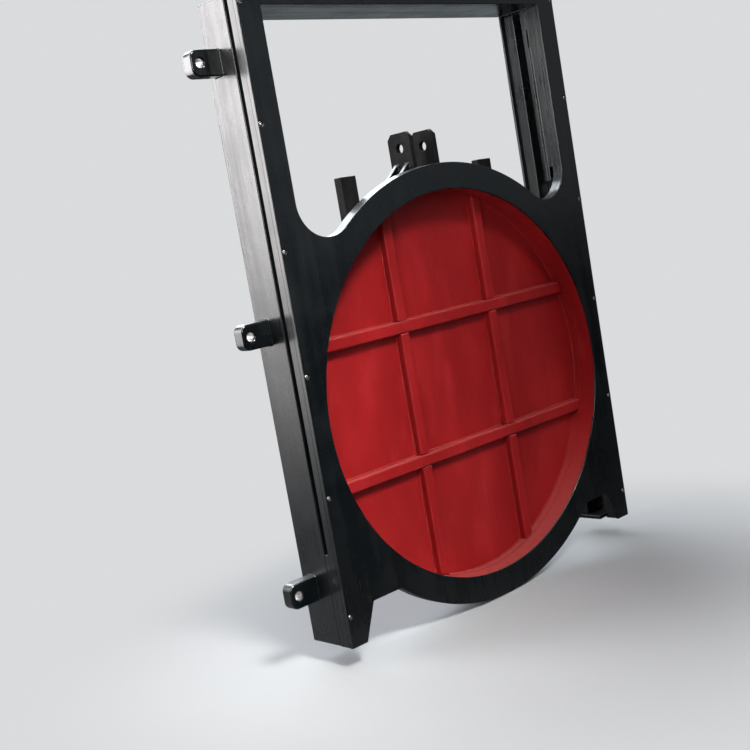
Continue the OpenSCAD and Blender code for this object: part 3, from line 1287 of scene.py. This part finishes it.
@dataclass
class Leaf:
    """The red ribbed leaf, with its cheeks and its black lifting pieces."""

    sizes: GateSizes
    paints: Paints
    dresser: DressedNodes
    rib_xs: tuple[float, float] = (-0.170, 0.170)
    bulge: float = 0.0009
    rib_round: float = 0.0052
    rim_round: float = 0.0008
    skin_rings: int = 56
    skin_steps: int = 192
    ear_cut: float = 0.014
    ear_round: float = 0.0018
    ear_hole_r: float = 0.012
    ear_hole_rise: float = 0.084
    gusset_t: float = 0.012
    gusset_shy: float = 0.004
    shy: float = 0.001

    def build_skin(self) -> None:
        """Makes the skin, a disc whose panels bow a little between the ribs, as welding leaves it."""
        s = self.sizes
        ribs = [sum(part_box(f"{level}_level_rib"), Vector()) / 2 for level in ("lower", "upper")]
        across = [-s.opening_r, *self.rib_xs, s.opening_r]
        up = [s.centre_h - s.opening_r, *(rib.z for rib in ribs), s.centre_h + s.opening_r]
        shape = bmesh.new()

        def point(x: float, y: float, z: float) -> bmesh.types.BMVert:
            """Adds a point of the skin, drawn forwards between the ribs."""
            return shape.verts.new((x, y - self.bulge * between(x, across) * between(z, up), z))

        rims = []
        for y in [corner.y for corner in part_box("leaf_skin")]:
            middle = point(0, y, s.centre_h)
            radii = [s.opening_r * k / self.skin_rings for k in range(1, self.skin_rings + 1)]
            rings = [[point(*p) for p in s.around(r, y, steps=self.skin_steps)[:-1]] for r in radii]
            for first, second in neighbours(rings[0]):
                shape.faces.new((middle, first, second))
            bridge(shape, rings)
            rims.append(rings[-1])
        bridge(shape, rims)
        place_piece(shape, "painted_leaf_skin", "leaf", self.paints.red, node="leaf_skin")

    def build(self) -> None:
        """Makes the leaf's pieces."""
        p, s, dress = self.paints, self.sizes, self.dresser.dress
        self.build_skin()
        low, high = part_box("leaf_rim")
        section = rounded_profile(box_profile(s.opening_r, high.x, low.y, high.y), self.rim_round)
        hoop = turned(section, s.centre_h)
        place_piece(hoop, "painted_leaf_rim", "leaf", p.red, node="leaf_rim", weighted=True)
        for node in ("upper_level_rib", "lower_level_rib", "left_upright_rib", "right_upright_rib"):
            dress(node, p.red, self.rib_round)
        for side in SIDES:
            dress(f"{side}_cheek", p.red, 0.0018)
            dress(f"{side}_shoulder_block", p.rough, 0.0022)
            self.build_ear(f"{side}_ear")
        dress("lifting_foot", p.rough, 0.0010)
        dress("lifting_pad", p.rough, 0.0018)
        dress("ear_gussets", p.cast, 0.0014)

    def build_ear(self, node: str) -> None:
        """Makes a lifting ear, a plate with cut corners and one pin hole.

        Args:
            node: The node that it replaces.
        """
        low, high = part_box(node)
        cut, edge = self.ear_cut, self.ear_round
        front, back, foot, top = low.y, high.y, low.z, high.z
        corners = [(front + cut, foot), (back - cut, foot), (back, foot + cut), (back, top - cut)]
        corners += [(back - cut, top), (front + cut, top), (front, top - cut), (front, foot + cut)]
        pin = hole(((front + back) / 2, foot + self.ear_hole_rise), self.ear_hole_r, HOLE_STEPS)
        plate = RoundedPlate([corners, pin], low.x, high.x, edge, edge, 3, Facing.SIDE)
        place_piece(plate.shape(), f"painted_{node}", "leaf", self.paints.rough, node=node, weighted=True)

    def red_welds(self) -> WeldSet:
        """Lays the red weld beads.

        Returns:
            The beads of the ribs, the rim and the cheeks.
        """
        s = self.sizes
        fine = {"radius": 0.0033, "pitch": 0.0030, "spread": 0.08, "rows": 3, "seed": 11}
        beads = WeldSet("leaf_welds", "leaf", self.paints.red, **fine)
        inner = s.opening_r - self.shy
        for node in ("upper_level_rib", "lower_level_rib"):
            for z in [corner.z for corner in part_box(node)]:
                reach = math.sqrt(inner**2 - (z - s.centre_h) ** 2)
                beads.line((-reach, s.skin_y, z), (reach, s.skin_y, z))
        for node in ("left_upright_rib", "right_upright_rib"):
            for x in [corner.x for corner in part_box(node)]:
                reach = math.sqrt(inner**2 - x**2)
                beads.line((x, s.skin_y, s.centre_h - reach), (x, s.skin_y, s.centre_h + reach))
        for y in (s.skin_y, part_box("leaf_skin")[1].y):
            beads.line(*s.around(s.opening_r, y)[:-1], closed=True)
        low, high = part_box("right_cheek")
        lean = math.degrees(math.asin((high.z - s.centre_h) / s.rim_r))
        for middle in (0, 180):
            for y in (low.y, s.leaf_back_y - self.shy):
                beads.line(*s.around(s.rim_r, y, middle - lean, middle + lean, 40))
        return beads

    def black_welds(self) -> WeldSet:
        """Lays the black weld beads.

        Returns:
            The beads of the ears, their gussets, the pad and the shoulder blocks.
        """
        s = self.sizes
        beads = WeldSet("lifting_welds", "leaf", self.paints.cast, seed=23)
        back = s.leaf_back_y - self.shy
        for side in SIDES:
            low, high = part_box(f"{side}_ear")
            for x in (low.x, high.x):
                beads.line((x, low.y + self.ear_cut, low.z), (x, high.y - self.ear_cut, low.z))
            low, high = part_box(f"{side}_shoulder_block")
            ends = sorted(math.degrees(math.acos(x / s.rim_r)) for x in (low.x, high.x))
            for y in (low.y, back):
                beads.line(*s.around(s.rim_r, y, *ends, 8))
            for x in (low.x, high.x):
                z = s.centre_h + math.sqrt(s.rim_r**2 - x**2)
                beads.line((x, low.y, z), (x, back, z))
        low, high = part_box("lifting_foot")
        reach = math.degrees(math.acos(high.x / s.rim_r))
        for y in (low.y, high.y):
            beads.line((low.x, y, high.z), (high.x, y, high.z))
            beads.line(*s.around(s.rim_r, y, reach, 180 - reach, 20))
        low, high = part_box("ear_gussets")
        for x_in, x_out in ((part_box("right_ear")[1].x, high.x), (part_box("left_ear")[0].x, low.x)):
            for y in (low.y, low.y + self.gusset_t, high.y - self.gusset_t, high.y):
                beads.line((x_out, y, low.z), (x_in, y, low.z), (x_in, y, high.z - self.gusset_shy))
        return beads


def between(value: float, stops: list[float]) -> float:
    """Works out a smooth hump between stops.

    Args:
        value: Where it is asked for.
        stops: The stops, rising.

    Returns:
        0 at a stop and outside them all, up to 1 halfway between two.
    """
    for low, high in zip(stops, stops[1:]):
        if low <= value <= high:
            return math.sin(math.pi * (value - low) / (high - low)) ** 2
    return 0.0


@dataclass(frozen=True)
class Lamp:
    """A soft lamp: where it hangs and aims, its width and height, its watts, its tint and its spread.

    The fade says where its glow starts and stops to grow, as shares of its height, and its least share.
    """

    name: str
    place: Point3
    aim: Point3
    size: Point2
    power: float
    tint: Point3
    spread: float = 180
    fade: tuple[float, float, float] | None = None

    def hang(self) -> None:
        """Adds the lamp to the scene, out of the camera's sight."""
        light = bpy.data.lights.new(self.name, "AREA")
        light.shape = "RECTANGLE"
        light.size, light.size_y = self.size
        light.energy = self.power
        light.color = self.tint
        light.spread = math.radians(self.spread)
        if self.fade:
            light.use_nodes = True
            graph = Graph(light.node_tree)
            across = graph.node("ShaderNodeNewGeometry").outputs["Parametric"]
            glow = next(node for node in graph.tree.nodes if node.type == "EMISSION")
            graph.feed(glow, {"Strength": graph.span(graph.part(across, "Y"), *self.fade)})
        lamp = add_object(self.name, light)
        lamp.location = self.place
        lamp.rotation_euler = (Vector(self.aim) - Vector(self.place)).to_track_quat("-Z", "Y").to_euler()
        lamp.visible_camera = False


@dataclass
class Studio:
    """The floor, the lamps, the world and the camera."""

    floor_z: float
    pale: Point3 = (0.70, 0.71, 0.72)
    floor_paint: Point3 = (0.360, 0.366, 0.373)
    # grey that glossy rays see instead of the floor, in front and behind: a painted dark surround for the
    # gate's reflections
    floor_glint: tuple[float, float] = (0.015, 0.11)
    clear: float = 0.3
    far: float = 1.3
    sky_tint: Point3 = (0.84, 0.93, 1.0)
    sky_front: float = 0.20
    sky_back: float = 0.30
    lens: float = 56.37
    stand: Point3 = (-2.1844, -2.0808, 0.9517)

    def floor(self) -> None:
        """Makes a plain floor that fades into the background and keeps the shadow."""
        shape = bmesh.new()
        bmesh.ops.create_grid(shape, x_segments=1, y_segments=1, size=40)
        bmesh.ops.translate(shape, verts=shape.verts, vec=(0, 0, self.floor_z))
        mesh = bpy.data.meshes.new("floor")
        shape.to_mesh(mesh)
        shape.free()
        graph = ShaderGraph("pale_floor")
        rays = graph.node("ShaderNodeLightPath").outputs
        sight = rays["Is Camera Ray"]
        # Glossy rays see the floor as a dark grey, darker in front than behind: painted darkness that dims
        # the reflections in the gate's glossy paint.
        glint = graph.span(graph.part(graph.place, "Y"), -0.6, 0.6, *self.floor_glint)
        grey = graph.node("ShaderNodeCombineColor", {"Red": glint, "Green": glint, "Blue": glint})
        bounce = graph.blend(rays["Is Glossy Ray"], self.floor_paint, grey.outputs["Color"])
        paint = graph.blend(sight, bounce, self.floor_paint)
        graph.feed(graph.shader, {"Roughness": 0.9, "Specular IOR Level": 0.1, "Base Color": paint})
        away = graph.node("ShaderNodeVectorMath", {0: graph.place}, operation="LENGTH").outputs["Value"]
        fade = graph.maths("MULTIPLY", graph.span(away, self.clear, self.far), sight)
        glow = graph.node("ShaderNodeEmission", {"Color": colour(self.pale), "Strength": 1.0})
        mixed = graph.node("ShaderNodeMixShader", {0: fade, 1: graph.shader.outputs[0], 2: glow.outputs[0]})
        graph.feed(graph.tree.nodes["Material Output"], {"Surface": mixed.outputs[0]})
        mesh.materials.append(graph.material)
        add_object("floor", mesh)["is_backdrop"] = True

    def world(self) -> None:
        """Makes a pale background, whose light on the gate is dim in front and stronger behind."""
        world = bpy.data.worlds.new("studio")
        bpy.context.scene.world = world
        world.use_nodes = True
        graph = Graph(world.node_tree)
        seen = graph.tree.nodes["Background"]
        graph.feed(seen, {"Color": colour(self.pale)})
        toward = graph.node("ShaderNodeTexCoord").outputs["Generated"]
        level = graph.span(graph.part(toward, "Y"), -0.4, 0.5, self.sky_front, self.sky_back)
        dim = graph.node("ShaderNodeBackground", {"Color": colour(self.sky_tint), "Strength": level})
        sight = graph.node("ShaderNodeLightPath").outputs["Is Camera Ray"]
        mixed = graph.node("ShaderNodeMixShader", {0: sight, 1: dim.outputs[0], 2: seen.outputs[0]})
        graph.feed(graph.tree.nodes["World Output"], {"Surface": mixed.outputs[0]})

    def lamps(self) -> None:
        """Hangs the lamps: a key and a top light in front, and large soft ones behind the gate."""
        day, warm, pane = (1.0, 0.985, 0.97), (1.0, 0.97, 0.97), (1.1, 3.0)
        dim_foot = (0.0, 0.5, 0.03)
        for lamp in (
            Lamp("key", (-0.9, -3.0, 4.0), (-0.75, 0, 0.4), (1.2, 1.2), 14.5, day, 30),
            Lamp("near_left", (-2.2, -1.5, 1.5), (0.1, 0, 0.75), (0.9, 0.9), 4.8, day, 80),
            Lamp("top", (0.6, -0.4, 4.4), (0, 0, 0.6), (2.2, 1.8), 36, (0.97, 0.985, 1.0)),
            Lamp("window", (-1.55, 0.85, 1.55), (-1.55, 0.0, 1.55), pane, 84, warm, fade=dim_foot),
            Lamp("skylight", (0.8, 2.2, 2.6), (-0.2, 0, 1.0), (2.8, 2.4), 130, (0.85, 0.925, 1.0)),
            Lamp("low_right", (2.4, 2.4, 0.95), (0, 0, 1.2), (2.0, 1.0), 1.4, (0.80, 0.92, 1.0)),
        ):
            lamp.hang()

    def camera(self) -> None:
        """Stands the camera where the photograph was taken from, turned with the gate's lean."""
        data = bpy.data.cameras.new("camera")
        data.sensor_width = 36.0
        data.lens = self.lens
        data.clip_start, data.clip_end = 0.05, 200
        right = Vector((0.7232, -0.6694, -0.1701))
        down = Vector((-0.2081, 0.0236, -0.9778))
        ahead = Vector((0.6586, 0.7425, -0.1223))
        turn = Matrix((right, -down, -ahead)).transposed().to_4x4()
        camera = add_object("camera", data)
        camera.matrix_world = Matrix.Translation(self.stand) @ turn
        bpy.context.scene.camera = camera

    def build(self) -> None:
        """Sets up the studio."""
        bpy.context.scene.view_settings.view_transform = "Standard"
        self.floor()
        self.world()
        self.lamps()
        self.camera()


def clear_default_scene() -> None:
    """Removes the objects that Blender starts with."""
    for thing in list(bpy.data.objects):
        bpy.data.objects.remove(thing)


def main() -> None:
    """Builds the gate's pieces in order, then the studio."""
    logging.basicConfig(level=logging.INFO, format="%(message)s")
    clear_default_scene()
    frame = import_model()
    cad_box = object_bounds()
    sizes = GateSizes.from_frame()
    paints = Paints.mixed()
    plate = FacePlate(sizes, paints)
    plate.build()
    plate.screws()
    Waterway(sizes, paints).build()
    posts = PostsAndBeam(sizes, paints, DressedNodes(frame["nodes"], "frame"))
    posts.build()
    leaf = Leaf(sizes, paints, DressedNodes(frame["nodes"], "leaf"))
    leaf.build()
    ripples = Repeater("weld ripples")
    for beads in (posts.welds(), leaf.red_welds(), leaf.black_welds()):
        beads.build(ripples)
    Studio(floor_z=cad_box[0].z - 0.001).build()


if __name__ == "__main__":
    main()
